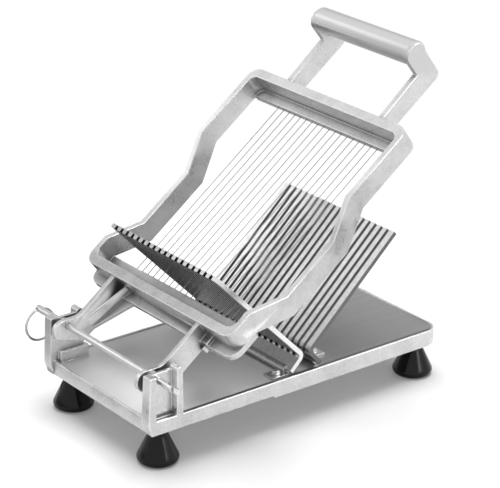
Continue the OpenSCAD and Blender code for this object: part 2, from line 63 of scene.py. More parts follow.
def placeArm(points):
    # (x, along the arm, across the arm) from the hinge axis: turn by the arm angle about x,
    # then move to the hinge
    p = np.asarray(points, float)
    c, s = math.cos(armTurn), math.sin(armTurn)
    y = layout["hingeY"] + p[..., 1] * c - p[..., 2] * s
    z = layout["hingeZ"] + p[..., 1] * s + p[..., 2] * c
    return place(np.stack([p[..., 0], y, z], -1))


# Mesh building

def gridFaces(nu, nv, wrapU, wrapV):
    # quads between neighbours of a grid of nu by nv points, going round where a side wraps
    u = np.arange(nu if wrapU else nu - 1)
    v = np.arange(nv if wrapV else nv - 1)
    a, b = np.meshgrid(u, v, indexing="ij")
    a2, b2 = (a + 1) % nu, (b + 1) % nv
    return np.stack([a * nv + b, a2 * nv + b, a2 * nv + b2, a * nv + b2], -1).reshape(-1, 4)


def fullTurn(steps):
    # even angles round a circle, as a column
    return np.linspace(0, 2 * np.pi, steps, endpoint=False)[:, None]


def turnedPoints(radius, height):
    # point(angle, s) = (radius cos, radius sin, height): rows are angles, columns run along the profile
    angle = fullTurn(len(radius))
    heights = np.broadcast_to(height, radius.shape)
    return np.stack([radius * np.cos(angle), radius * np.sin(angle), heights], -1).reshape(-1, 3)


def turnedShell(radius, height):
    # a turned profile, closed by a single pole at each of its ends
    nu, nv = radius.shape
    flat = turnedPoints(radius, height)
    poles = np.array([[0, 0, height[0]], [0, 0, height[-1]]])
    quads = gridFaces(nu, nv, True, False)
    i = np.arange(nu)
    j = (i + 1) % nu
    n = len(flat)
    low = np.stack([np.full(nu, n), j * nv, i * nv], -1)
    high = np.stack([np.full(nu, n + 1), i * nv + nv - 1, j * nv + nv - 1], -1)
    return np.vstack([flat, poles]), quads.tolist() + low.tolist() + high.tolist()


def turnedRing(radius, height):
    # a turned profile that comes back to its start, for washers and nuts
    nu, nv = radius.shape
    return turnedPoints(radius, height), gridFaces(nu, nv, True, True).tolist()


def sweptTube(path, radius, upward, sides):
    # circle carried along a flat path: centre + radius (cos upward + sin sideways), with a pole at each end
    step = np.gradient(path, axis=0)
    along = step / np.linalg.norm(step, axis=1, keepdims=True)
    side = np.cross(along, upward)
    side /= np.linalg.norm(side, axis=1, keepdims=True)
    angle = fullTurn(sides)
    ring = np.cos(angle)[None] * upward + np.sin(angle)[None] * side[:, None, :]
    pts = path[:, None, :] + radius * ring
    nu, nv = len(path), sides
    flat = np.vstack([pts.reshape(-1, 3), path[0], path[-1]])
    quads = gridFaces(nu, nv, False, True)
    i = np.arange(nv)
    j = (i + 1) % nv
    n = nu * nv
    first = np.stack([np.full(nv, n), j, i], -1)
    last = np.stack([np.full(nv, n + 1), (nu - 1) * nv + i, (nu - 1) * nv + j], -1)
    return flat, quads.tolist() + first.tolist() + last.tolist()


def shifted(shell, x, y):
    points, faces = shell
    return points + np.array([x, y, 0.0]), faces


def joined(shells, where):
    # several shells as one list of points, put in place, and one list of faces
    points, faces, start = [], [], 0
    for p, f in shells:
        points.append(p)
        faces += [[k + start for k in face] for face in f]
        start += len(p)
    return where(np.vstack(points)), faces


def settle(name, mesh, material, body, slotName, *replaced):
    piece = bpy.data.objects.new(name, mesh)
    scene.collection.objects.link(piece)
    mesh.materials.append(material)
    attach(piece, body)
    if replaced:
        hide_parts(*replaced)
    return piece


def newPiece(name, shell, material, body, slotName, *replaced, smoothAngle=35):
    points, faces = shell
    mesh = bpy.data.meshes.new(name)
    mesh.from_pydata([tuple(p) for p in points], [], faces)
    bm = bmesh.new()
    bm.from_mesh(mesh)
    bmesh.ops.recalc_face_normals(bm, faces=bm.faces)
    bm.to_mesh(mesh)
    bm.free()
    mesh.shade_smooth()
    mesh.set_sharp_from_angle(angle=math.radians(smoothAngle))
    return settle(name, mesh, material, body, slotName, *replaced)


# Rounding of edges: angles in degrees, distances in metres, shares of the free distance or of an edge's
# width, and the places along an edge where the free distance is measured
rounding = {"sharpest": 30.0, "narrowest": 28.0, "chain": 50.0, "flat": 0.4, "weld": 2e-6, "touching": 1e-7,
            "shared": 0.42, "lone": 0.85, "facing": 0.25, "least": 0.02,
            "stops": (0.02, 0.25, 0.5, 0.75, 0.98)}


def edgeRoom(bm, sharp):
    # how far each sharp edge can be rounded: the distance, within its two faces, to the edges that
    # look back at it
    room = dict.fromkeys(sharp, math.inf)
    for f in bm.faces:
        corners = list(f.loops)
        if not any(c.edge in sharp for c in corners):
            continue
        start = np.array([c.vert.co for c in corners])
        along = np.array([c.link_loop_next.vert.co for c in corners]) - start
        inward = np.cross(np.array(f.normal), along)
        inward /= np.maximum(np.linalg.norm(inward, axis=1, keepdims=True), tiny)
        square = np.maximum((along ** 2).sum(1), tiny ** 2)
        free = np.full((len(corners), len(corners)), np.inf)
        for stop in rounding["stops"]:
            point = start + stop * along
            s = np.clip(((point[:, None] - start) * along).sum(2) / square, 0, 1)
            gap = start + s[..., None] * along - point[:, None]
            length = np.linalg.norm(gap, axis=2)
            ahead = (gap * inward[:, None]).sum(2) > rounding["facing"] * length
            back = -(gap * inward).sum(2) > rounding["facing"] * length
            faced = ahead & back & (length > rounding["touching"])
            free = np.minimum(free, np.where(faced, length, np.inf))
        free = np.minimum(free, free.T)
        i = np.arange(len(corners))
        for step in (-1, 0, 1):
            free[i, (i + step) % len(corners)] = np.inf
        share = np.array([rounding["shared"] if c.edge in sharp else rounding["lone"] for c in corners])
        for c, width in zip(corners, (free * share).min(1)):
            if c.edge in sharp:
                room[c.edge] = min(room[c.edge], width)
    return room


def edgeChains(bm, sharp):
    # groups of sharp edges that run on into each other
    chains = {e: [e] for e in sharp}
    for v in bm.verts:
        pair = [e for e in v.link_edges if e in sharp]
        if len(pair) != 2 or chains[pair[0]] is chains[pair[1]]:
            continue
        first, second = (e.other_vert(v).co - v.co for e in pair)
        if math.pi - first.angle(second) < math.radians(rounding["chain"]):
            chains[pair[0]] += chains[pair[1]]
            for e in chains[pair[1]]:
                chains[e] = chains[pair[0]]
    return chains


def softenedCopy(name, node, soft, material, body, slotName):
    # the CAD solid with its triangles merged into whole faces and its edges rounded, by less where there is
    # less room; edges that meet in a very narrow corner stay as they are
    width, segments = soft[0] * mm, soft[1]
    bm = bmesh.new()
    bm.from_mesh(nodes[node].data)
    bmesh.ops.remove_doubles(bm, verts=bm.verts, dist=rounding["weld"])
    bmesh.ops.dissolve_limit(bm, angle_limit=math.radians(rounding["flat"]), verts=bm.verts, edges=bm.edges)
    weight = bm.edges.layers.float.new("bevel_weight_edge")
    sharp = {e for e in bm.edges if e.calc_face_angle(0.0) > math.radians(rounding["sharpest"])}
    for f in bm.faces:
        for corner in f.loops:
            pair = {corner.edge, corner.link_loop_prev.edge}
            if pair <= sharp and corner.calc_angle() < math.radians(rounding["narrowest"]):
                sharp -= pair
    room = edgeRoom(bm, sharp)
    chains = edgeChains(bm, sharp)
    for e in sharp:
        free = min(room[k] for k in chains[e])
        e[weight] = min(1.0, max(rounding["least"], free / width))
    mesh = bpy.data.meshes.new(name)
    bm.to_mesh(mesh)
    bm.free()
    extras = [a for a in mesh.attributes if a.domain == "CORNER" and not (a.is_required or a.is_internal)]
    for extra in [a.name for a in extras]:
        mesh.attributes.remove(mesh.attributes[extra])
    mesh.materials.clear()
    mesh.shade_smooth()
    piece = settle(name, mesh, material, body, slotName, node)
    bevel = piece.modifiers.new("edges", "BEVEL")
    bevel.width = width
    bevel.segments = segments
    bevel.limit_method = "WEIGHT"
    bevel.use_clamp_overlap = False
    bevel.harden_normals = True


# Shader building

def feed(tree, value, socket):
    # a plain value is set on the socket, anything else is linked to it
    if isinstance(value, (int, float, tuple)):
        socket.default_value = value
    else:
        tree.links.new(value, socket)


def mathNode(tree, operation, *values):
    node = tree.nodes.new("ShaderNodeMath")
    node.operation = operation
    for value, socket in zip(values, node.inputs):
        feed(tree, value, socket)
    return node.outputs[0]


def times(tree, a, b):
    return mathNode(tree, "MULTIPLY", a, b)


def rampNode(tree, value, low, high, fromValue=0.0, toValue=1.0):
    # smooth step from one value to another as the input goes from low to high
    node = tree.nodes.new("ShaderNodeMapRange")
    node.interpolation_type = "SMOOTHSTEP"
    given = {"Value": value, "From Min": low, "From Max": high, "To Min": fromValue, "To Max": toValue}
    for label, number in given.items():
        feed(tree, number, node.inputs[label])
    return node.outputs["Result"]


def noiseNode(tree, vector, scale, detail, roughness):
    node = tree.nodes.new("ShaderNodeTexNoise")
    given = {"Vector": vector, "Scale": scale, "Detail": detail, "Roughness": roughness}
    for label, value in given.items():
        feed(tree, value, node.inputs[label])
    return node.outputs["Fac"]


def splitNode(tree, vector):
    node = tree.nodes.new("ShaderNodeSeparateXYZ")
    tree.links.new(vector, node.inputs[0])
    return node.outputs


def turnedVector(tree, vector, angles):
    # coordinates turned by three angles in degrees
    node = tree.nodes.new("ShaderNodeMapping")
    node.inputs["Rotation"].default_value = tuple(math.radians(a) for a in angles)
    tree.links.new(vector, node.inputs["Vector"])
    return node.outputs[0]


# Sockets of a mix node, by kind: factor, first, second and result
mixSockets = {"FLOAT": (0, 2, 3, 0), "RGBA": (0, 6, 7, 2)}


def mixNode(tree, kind, factor, a, b, blend="MIX"):
    node = tree.nodes.new("ShaderNodeMix")
    node.data_type = kind
    node.blend_type = blend
    *entries, result = mixSockets[kind]
    for index, value in zip(entries, (factor, a, b)):
        feed(tree, value, node.inputs[index])
    return node.outputs[result]


def mixValue(tree, factor, a, b):
    return mixNode(tree, "FLOAT", factor, a, b)


def mixColour(tree, factor, a, b, blend="MIX"):
    return mixNode(tree, "RGBA", factor, a, b, blend)


def grey(value, warm=0.0):
    return (value + warm, value, value - warm, 1.0)


def layered(tree, colour, *layers):
    # greys laid over a colour one after another, each by its mask and the share that it covers there
    for mask, share, tone in layers:
        colour = mixColour(tree, times(tree, mask, share), colour, grey(tone))
    return colour


def makeGroup(name, given, results):
    # inputs by label with their values, None standing for a vector, and the labels of the outputs
    tree = bpy.data.node_groups.new(name, "ShaderNodeTree")
    for label, value in given.items():
        kind = "NodeSocketVector" if value is None else "NodeSocketFloat"
        socket = tree.interface.new_socket(label, in_out="INPUT", socket_type=kind)
        if value is not None:
            socket.default_value = value
    for label in results:
        tree.interface.new_socket(label, in_out="OUTPUT", socket_type="NodeSocketFloat")
    return tree, tree.nodes.new("NodeGroupInput").outputs, tree.nodes.new("NodeGroupOutput").inputs


def useGroup(tree, group, **values):
    node = tree.nodes.new("ShaderNodeGroup")
    node.node_tree = group
    for label, value in values.items():
        feed(tree, value, node.inputs[label.replace("_", " ")])
    return node.outputs


# Shader groups; noises are detail and roughness, ranges are the values between which a mask rises
grainShape = {"pitScale": 900.0, "cloudScale": 45.0, "wideScale": 0.22, "speckScale": 0.5, "fineWeight": 0.6,
              "wideWeight": 0.4, "fineNoise": (4.0, 0.6), "softNoise": (2.0, 0.55), "cloudNoise": (5.0, 0.62),
              "cloudRange": (0.33, 0.67), "speckRange": (0.38, 0.64)}


def makeCastGrain():
    # sand-cast skin: fine pits for the height, slow clouds and small specks for the tone
    shape = grainShape
    tree, given, result = makeGroup(
        "castGrain", {"Vector": None, "Pit Scale": shape["pitScale"], "Cloud Scale": shape["cloudScale"]},
        ("Height", "Cloud", "Speckle"))
    vector, pits = given["Vector"], given["Pit Scale"]
    fine = noiseNode(tree, vector, pits, *shape["fineNoise"])
    wide = noiseNode(tree, vector, times(tree, pits, shape["wideScale"]), *shape["softNoise"])
    cloud = noiseNode(tree, vector, given["Cloud Scale"], *shape["cloudNoise"])
    speckle = noiseNode(tree, vector, times(tree, pits, shape["speckScale"]), *shape["softNoise"])
    height = mathNode(tree, "ADD", times(tree, fine, shape["fineWeight"]),
                      times(tree, wide, shape["wideWeight"]))
    tree.links.new(height, result["Height"])
    tree.links.new(rampNode(tree, cloud, *shape["cloudRange"]), result["Cloud"])
    tree.links.new(rampNode(tree, speckle, *shape["speckRange"]), result["Speckle"])
    return tree


brushShape = {"scale": 1800.0, "stretch": 0.02, "bandScale": 0.12, "lineNoise": (2.0, 0.5),
              "bandNoise": (3.0, 0.6), "lineRange": (0.3, 0.7), "bandRange": (0.35, 0.65)}


def makeBrushing():
    # fine scratches drawn out along y of the given vector
    shape = brushShape
    tree, given, result = makeGroup(
        "brushing", {"Vector": None, "Scale": shape["scale"], "Stretch": shape["stretch"]},
        ("Lines", "Bands"))
    split = splitNode(tree, given["Vector"])
    drawn = tree.nodes.new("ShaderNodeCombineXYZ")
    tree.links.new(split["X"], drawn.inputs["X"])
    tree.links.new(times(tree, split["Y"], given["Stretch"]), drawn.inputs["Y"])
    tree.links.new(split["Z"], drawn.inputs["Z"])
    bandScale = times(tree, given["Scale"], shape["bandScale"])
    bands = noiseNode(tree, drawn.outputs[0], bandScale, *shape["bandNoise"])
    lines = noiseNode(tree, drawn.outputs[0], given["Scale"], *shape["lineNoise"])
    tree.links.new(lines, result["Lines"])
    tree.links.new(rampNode(tree, bands, *shape["bandRange"]), result["Bands"])
    return tree


edgeAndCornerMaskShape = {"edgeWidth": 0.0016, "cornerWidth": 0.007, "samples": 6, "edgeRange": (0.95, 0.55),
             "cornerRange": (0.98, 0.45)}


def makeEdgeWearHighlightAndCornerShade():
    # masks for outer edges, which are brightened as rubbed wear and painted highlight, and for inner corners,
    # which are darkened as painted shade; found by rays that leave the surface inwards and outwards
    shape = edgeAndCornerMaskShape
    tree, given, result = makeGroup(
        "edgeWearHighlightAndCornerShade", {"Edge Width": shape["edgeWidth"], "Corner Width": shape["cornerWidth"]},
        ("Edge", "Corner"))
    inner = tree.nodes.new("ShaderNodeAmbientOcclusion")
    inner.inside = True
    inner.only_local = True
    inner.samples = shape["samples"]
    outer = tree.nodes.new("ShaderNodeAmbientOcclusion")
    outer.samples = shape["samples"]
    tree.links.new(given["Edge Width"], inner.inputs["Distance"])
    tree.links.new(given["Corner Width"], outer.inputs["Distance"])
    tree.links.new(rampNode(tree, inner.outputs["AO"], *shape["edgeRange"]), result["Edge"])
    tree.links.new(rampNode(tree, outer.outputs["AO"], *shape["cornerRange"]), result["Corner"])
    return tree


castGrain = makeCastGrain()
brushing = makeBrushing()
edgeWearHighlightAndCornerShade = makeEdgeWearHighlightAndCornerShade()
print("shader groups made")


# Materials

def startMaterial(name):
    material = bpy.data.materials.new(name)
    material.use_nodes = True
    tree = material.node_tree
    coords = tree.nodes.new("ShaderNodeTexCoord")
    return material, tree, tree.nodes["Principled BSDF"].inputs, coords.outputs["Object"]


def dress(tree, surface, colour, rough, metal, height, finish):
    # colour, roughness and metal of a surface, with the height as a bump
    feed(tree, colour, surface["Base Color"])
    feed(tree, rough, surface["Roughness"])
    feed(tree, metal, surface["Metallic"])
    bump = tree.nodes.new("ShaderNodeBump")
    bump.inputs["Strength"].default_value = finish["bump"]
    bump.inputs["Distance"].default_value = finish["depth"]
    tree.links.new(height, bump.inputs["Height"])
    tree.links.new(bump.outputs[0], surface["Normal"])


# Cast skin: corners are darkened with painted shade, over a wider reach below the pocket heights
castFinish = {"tone": 0.63, "cloudTone": 0.73, "rough": 0.27, "cloudRough": 0.36, "metal": 0.88,
              "edgeWearAndHighlightTone": 0.98, "edgeShare": 0.95, "edgeRough": 0.2, "cornerShadeTone": 0.12, "cornerShare": 0.75,
              "cornerWidth": 0.009, "pocketWidth": 0.016, "pocketTop": 0.19, "pocketLow": 0.15,
              "speck": 0.17, "speckTone": 0.5, "bump": 0.3, "depth": 0.00014}
baseFinish = dict(castFinish, cornerWidth=0.0045, pocketWidth=0.0045, cornerShadeTone=0.28, bump=0.25)
# The grip and its elbows, above this height, are rubbed smooth
gripPolish = {"low": 0.334, "high": 0.35, "rough": 0.34, "tone": 0.62, "edgeShare": 0.1, "cornerShare": 0.2}


def castSkin(tree, vector, finish):
    # body tone with clouds, edges brightened as rubbed wear and painted highlight, and painted shade in
    # corners: colour, roughness and height of the skin
    grain = useGroup(tree, castGrain, Vector=vector)
    level = splitNode(tree, vector)["Z"]
    reach = rampNode(tree, level, finish["pocketLow"], finish["pocketTop"],
                     finish["pocketWidth"], finish["cornerWidth"])
    edgeAndCornerMasks = useGroup(tree, edgeWearHighlightAndCornerShade, Corner_Width=reach)
    polish = rampNode(tree, level, gripPolish["low"], gripPolish["high"])
    rawness = mathNode(tree, "SUBTRACT", 1.0, polish)
    colour = mixColour(tree, grain["Cloud"], grey(finish["tone"]), grey(finish["cloudTone"]))
    specks = times(tree, grain["Speckle"], finish["speck"])
    colour = mixColour(tree, specks, colour, grey(finish["speckTone"]), "MULTIPLY")
    cornerShare = rampNode(tree, polish, 0.0, 1.0, finish["cornerShare"], gripPolish["cornerShare"])
    edgeShare = rampNode(tree, polish, 0.0, 1.0, finish["edgeShare"], gripPolish["edgeShare"])
    # painted shade in corners, and a painted highlight with rubbed wear on edges, both weaker on the grip
    colour = layered(tree, colour, (polish, 1.0, gripPolish["tone"]),
                     (edgeAndCornerMasks["Corner"], cornerShare, finish["cornerShadeTone"]),
                     (edgeAndCornerMasks["Edge"], edgeShare, finish["edgeWearAndHighlightTone"]))
    rough = rampNode(tree, grain["Cloud"], 0.0, 1.0, finish["rough"], finish["cloudRough"])
    rubbed = times(tree, edgeAndCornerMasks["Edge"], finish["edgeRough"] - finish["cloudRough"])
    rough = mixValue(tree, polish, mathNode(tree, "ADD", rough, rubbed), gripPolish["rough"])
    return colour, rough, times(tree, grain["Height"], rawness)


def makeCastFrameMetal():
    material, tree, surface, vector = startMaterial("satinCastAluminium")
    colour, rough, height = castSkin(tree, vector, castFinish)
    dress(tree, surface, colour, rough, castFinish["metal"], height, castFinish)
    return material


# Ground face of the tray; onLevel and offLevel are distances from its height, and rimIn and rimShade
# lie across it
# The tray's tones are painted light and shade: darker on the left, lighter on the right, darker towards the
# rear
trayFinish = {"leftShadeTone": 0.52, "rightLightTone": 0.92, "side": 0.07, "rearShadeTone": 0.25, "front": -0.1,
              "rear": 0.08, "bands": 0.02, "bandTone": 1.0, "rimShadeTone": 0.06, "rimIn": 87.5, "rimShade": 2.5,
              "metal": 0.2, "rough": 0.3, "lineRough": 0.36, "lineHeight": 0.2, "scale": 1400.0,
              "stretch": 0.03, "onLevel": 0.2, "offLevel": 0.4, "facing": (0.6, 0.9)}


def makeBaseMetal():
    # cast skin all over, and a ground face on the tray, where the surface is level and at the tray's height,
    # with painted light to the right and painted shade to the left and towards the rear
    material, tree, surface, vector = startMaterial("groundTrayAluminium")
    tray = trayFinish
    colour, rough, height = castSkin(tree, vector, baseFinish)
    brush = useGroup(tree, brushing, Vector=vector, Scale=tray["scale"], Stretch=tray["stretch"])
    at = splitNode(tree, vector)
    off = mathNode(tree, "ABSOLUTE", mathNode(tree, "SUBTRACT", at["Z"], layout["trayZ"] * mm))
    facing = splitNode(tree, tree.nodes.new("ShaderNodeNewGeometry").outputs["Normal"])["Z"]
    ground = times(tree, rampNode(tree, off, tray["offLevel"] * mm, tray["onLevel"] * mm),
                   rampNode(tree, facing, *tray["facing"]))
    # masks for painted light from left to right and painted shade towards the rear
    across = rampNode(tree, at["X"], -tray["side"], tray["side"])
    along = rampNode(tree, at["Y"], tray["front"], tray["rear"])
    # a painted shade line where the tray meets the rim on its right side
    rimShadeLine = rampNode(tree, at["X"], (tray["rimIn"] - tray["rimShade"]) * mm, tray["rimIn"] * mm)
    trayColourAndPaintedLight = mixColour(tree, across, grey(tray["leftShadeTone"]), grey(tray["rightLightTone"]))
    trayColourAndPaintedLight = layered(tree, trayColourAndPaintedLight, (along, 1.0, tray["rearShadeTone"]),
                         (brush["Bands"], tray["bands"], tray["bandTone"]), (rimShadeLine, 1.0, tray["rimShadeTone"]))
    trayRough = rampNode(tree, brush["Lines"], *brushShape["lineRange"], tray["rough"], tray["lineRough"])
    colour = mixColour(tree, ground, colour, trayColourAndPaintedLight)
    rough = mixValue(tree, ground, rough, trayRough)
    height = mixValue(tree, ground, height, times(tree, brush["Lines"], tray["lineHeight"]))
    metal = rampNode(tree, ground, 0.0, 1.0, baseFinish["metal"], tray["metal"])
    dress(tree, surface, colour, rough, metal, height, baseFinish)
    return material


bedFinish = {"tone": 0.66, "bandTone": 0.76, "cornerShadeTone": 0.16, "cornerShare": 0.6, "underPaintedLightTone": 0.75,
             "underShare": 0.9, "legShadeTone": 0.5, "edgeWearAndHighlightTone": 0.9, "edgeShare": 0.7, "slotLineShadeTone": 0.12,
             "wallShare": 0.9, "edgeWidth": 0.0009, "cornerWidth": 0.006, "scale": 1600.0, "stretch": 0.02,
             "rough": 0.24, "lineRough": 0.4, "bump": 0.2, "depth": 0.00006}
# Slots and sides of both bed plates in millimetres, with the lines beside the slots
slots = {"wall": 1.95, "wallFade": 0.15, "lineIn": 0.48, "lineOut": 1.2, "last": 86.0, "floor": 70.7,
         "floorFade": 0.2, "side": 89.6, "sideFade": 0.3, "under": 4.2, "underFade": 0.4}
frontBed = {"slope": -45.0, "foldY": 188.5, "foldZ": 72.5, "outerR": 8.0, "slotWallShadeTone": 0.04, "endLightAndShadeTone": 0.85}
rearBed = {"slope": 43.0, "foldY": 212.5, "foldZ": 74.0, "outerR": 8.0, "slotWallShadeTone": 0.08, "endLightAndShadeTone": 0.16}


def makeBedMetal(name, bed):
    # brushed along the slats, which rise at the slope of the plate, with painted shade on the slot walls, the
    # lower leg, in corners and in lines beside the slots underneath, painted light underneath, a painted
    # highlight with wear on edges, and end faces painted light on the front plate and painted shade on the
    # rear plate
    material, tree, surface, vector = startMaterial(name)
    finish = bedFinish
    uphill = turnedVector(tree, vector, (bed["slope"], 0, 0))
    brush = useGroup(tree, brushing, Vector=uphill, Scale=finish["scale"], Stretch=finish["stretch"])
    edgeAndCornerMasks = useGroup(tree, edgeWearHighlightAndCornerShade, Edge_Width=finish["edgeWidth"], Corner_Width=finish["cornerWidth"])
    at = splitNode(tree, vector)
    # distance from the middle of the nearest slot: the share of a pitch, less a half, without its sign
    share = mathNode(tree, "SUBTRACT", at["X"], firstX * mm)
    share = mathNode(tree, "DIVIDE", share, layout["wirePitch"] * mm)
    share = mathNode(tree, "FRACT", mathNode(tree, "ADD", share, 0.5))
    away = mathNode(tree, "ABSOLUTE", mathNode(tree, "SUBTRACT", share, 0.5))
    away = times(tree, away, layout["wirePitch"])
    sideways = mathNode(tree, "ABSOLUTE", at["X"])
    inside = rampNode(tree, sideways, (slots["last"] + slots["sideFade"]) * mm, slots["last"] * mm)
    cut = rampNode(tree, at["Z"], (slots["floor"] - slots["floorFade"]) * mm,
                   (slots["floor"] + slots["floorFade"]) * mm)
    slotted = times(tree, inside, cut)
    # the slot walls get painted shade
    wall = times(tree, rampNode(tree, away, slots["wall"] + slots["wallFade"], slots["wall"]), slotted)
    # underneath: below the upper face by the plate's thickness, along the plate's own upright direction
    a = math.radians(bed["slope"])
    top = bed["outerR"] + math.cos(a) * bed["foldZ"] - math.sin(a) * (bed["foldY"] - layout["centreY"])
    low = top - slots["under"]
    height = mathNode(tree, "ADD", times(tree, at["Y"], -math.sin(a)), times(tree, at["Z"], math.cos(a)))
    # the underside gets a tone of its own: painted light
    under = rampNode(tree, height, low * mm, (low - slots["underFade"]) * mm)
    # painted shade lines underneath beside the slots, and the two end faces, painted light on the front plate
    # and painted shade on the rear plate
    shadeLine = rampNode(tree, away, slots["wall"] + slots["lineOut"], slots["wall"] + slots["lineIn"])
    shadeLine = times(tree, times(tree, shadeLine, under), slotted)
    ends = rampNode(tree, sideways, slots["side"] * mm, (slots["side"] + slots["sideFade"]) * mm)
    # the lower leg below the slots gets painted shade
    shadedLeg = mathNode(tree, "SUBTRACT", 1.0, cut)
    colour = mixColour(tree, brush["Bands"], grey(finish["tone"]), grey(finish["bandTone"]))
    # painted shade in corners, on the lower leg, in the lines and on the slot walls; painted light
    # underneath; a painted highlight with wear on edges; end faces painted light on the front plate and
    # painted shade on the rear
    colour = layered(tree, colour, (edgeAndCornerMasks["Corner"], finish["cornerShare"], finish["cornerShadeTone"]),
                     (under, finish["underShare"], finish["underPaintedLightTone"]), (shadedLeg, 1.0, finish["legShadeTone"]),
                     (edgeAndCornerMasks["Edge"], finish["edgeShare"], finish["edgeWearAndHighlightTone"]), (shadeLine, 1.0, finish["slotLineShadeTone"]),
                     (ends, 1.0, bed["endLightAndShadeTone"]), (wall, finish["wallShare"], bed["slotWallShadeTone"]))
    rough = rampNode(tree, brush["Lines"], *brushShape["lineRange"], finish["rough"], finish["lineRough"])
    dress(tree, surface, colour, rough, 1.0, brush["Lines"], finish)
    return material


rubberFinish = {"tone": 0.0008, "cloudTone": 0.002, "edgeWearAndHighlightTone": 0.008, "edgeShare": 0.5, "edgeWidth": 0.0012,
                "pitScale": 1600.0, "cloudScale": 120.0, "specular": 0.25, "rough": 0.14, "cloudRough": 0.2,
                "bump": 0.08, "depth": 0.00006}


def makeRubber():
    material, tree, surface, vector = startMaterial("mouldedBlackRubber")
    finish = rubberFinish
    grain = useGroup(tree, castGrain, Vector=vector, Pit_Scale=finish["pitScale"],
                     Cloud_Scale=finish["cloudScale"])
    edgeAndCornerMasks = useGroup(tree, edgeWearHighlightAndCornerShade, Edge_Width=finish["edgeWidth"])
    colour = mixColour(tree, grain["Cloud"], grey(finish["tone"]), grey(finish["cloudTone"]))
    # edges lighter: rubbed wear with a painted highlight
    colour = layered(tree, colour, (edgeAndCornerMasks["Edge"], finish["edgeShare"], finish["edgeWearAndHighlightTone"]))
    rough = rampNode(tree, grain["Cloud"], 0.0, 1.0, finish["rough"], finish["cloudRough"])
    surface["Specular IOR Level"].default_value = finish["specular"]
    dress(tree, surface, colour, rough, 0.0, grain["Height"], finish)
    return material


# Steel parts; gains are shares of a part's own tone
steelFinish = {"warm": 0.004, "bandGain": 1.12, "cornerShadeGain": 0.35, "cornerShare": 0.6, "cornerWidth": 0.003,
               "scale": 2600.0, "stretch": 0.03, "lineRough": 0.12, "bump": 0.15, "depth": 0.00004}


def makeSteel(name, tone, rough, turn):
    # drawn or turned steel: lines run round or along the piece, by how the coordinates are turned
    material, tree, surface, vector = startMaterial(name)
    finish = steelFinish
    drawn = turnedVector(tree, vector, turn)
    brush = useGroup(tree, brushing, Vector=drawn, Scale=finish["scale"], Stretch=finish["stretch"])
    edgeAndCornerMasks = useGroup(tree, edgeWearHighlightAndCornerShade, Corner_Width=finish["cornerWidth"])
    colour = mixColour(tree, brush["Bands"], grey(tone, finish["warm"]),
                       grey(tone * finish["bandGain"], finish["warm"]))
    # corners darkened with painted shade
    colour = layered(tree, colour, (edgeAndCornerMasks["Corner"], finish["cornerShare"], tone * finish["cornerShadeGain"]))
    rough = rampNode(tree, brush["Lines"], *brushShape["lineRange"], rough, rough + finish["lineRough"])
    dress(tree, surface, colour, rough, 1.0, brush["Lines"], finish)
    return material


satinCast = makeCastFrameMetal()
groundTray = makeBaseMetal()
brushedFront = makeBedMetal("brushedFrontSlats", frontBed)
brushedRear = makeBedMetal("brushedRearSlats", rearBed)
rubber = makeRubber()
pinSteel = makeSteel("drawnPinSteel", tone=0.68, rough=0.16, turn=(0, 0, 90))
screwSteel = makeSteel("platedScrewSteel", tone=0.6, rough=0.2, turn=(90, 0, 0))
wireSteel = makeSteel("drawnWireSteel", tone=0.3, rough=0.22, turn=(-layout["armAngle"], 0, 0))
print("materials made")


# Castings, bed plates, pin and tab: the CAD solids with rounded edges, by width in millimetres and steps
softEdges = {"castFrame": (1.1, 3), "castBase": (0.9, 3), "slats": (0.45, 2), "pin": (0.35, 2),
             "tab": (0.3, 2)}
softenedCopy("castFrame", "cutting_frame", softEdges["castFrame"], satinCast, "arm", "cast_aluminium")
softenedCopy("castBase", "base_casting", softEdges["castBase"], groundTray, "base", "cast_aluminium")
softenedCopy("frontSlats", "front_bed_plate", softEdges["slats"], brushedFront, "base", "bed_aluminium")
softenedCopy("rearSlats", "rear_bed_plate", softEdges["slats"], brushedRear, "base", "bed_aluminium")
softenedCopy("hingePin", "hinge_pin", softEdges["pin"], pinSteel, "pin", "plain_steel")
softenedCopy("lockingTab", "locking_tab", softEdges["tab"], pinSteel, "tab", "plain_steel")
print("castings and plates made")


# Feet: a cone with a rounded lower edge under a straight neck, turned about its own axis
foot = {"height": 42.0, "widest": 21.75, "rim": 5.5, "lean": 25.5, "neck": 9.25, "neckRound": 0.8,
        "throat": 2.5, "hollow": 0.8, "soleRings": (0.35, 0.85), "topRing": 4.0, "x": 75.5, "frontY": 22.0,
        "rearY": 364.0, "turns": 72, "rimSteps": 14, "sideSteps": 12, "throatSteps": 7, "topSteps": 6}


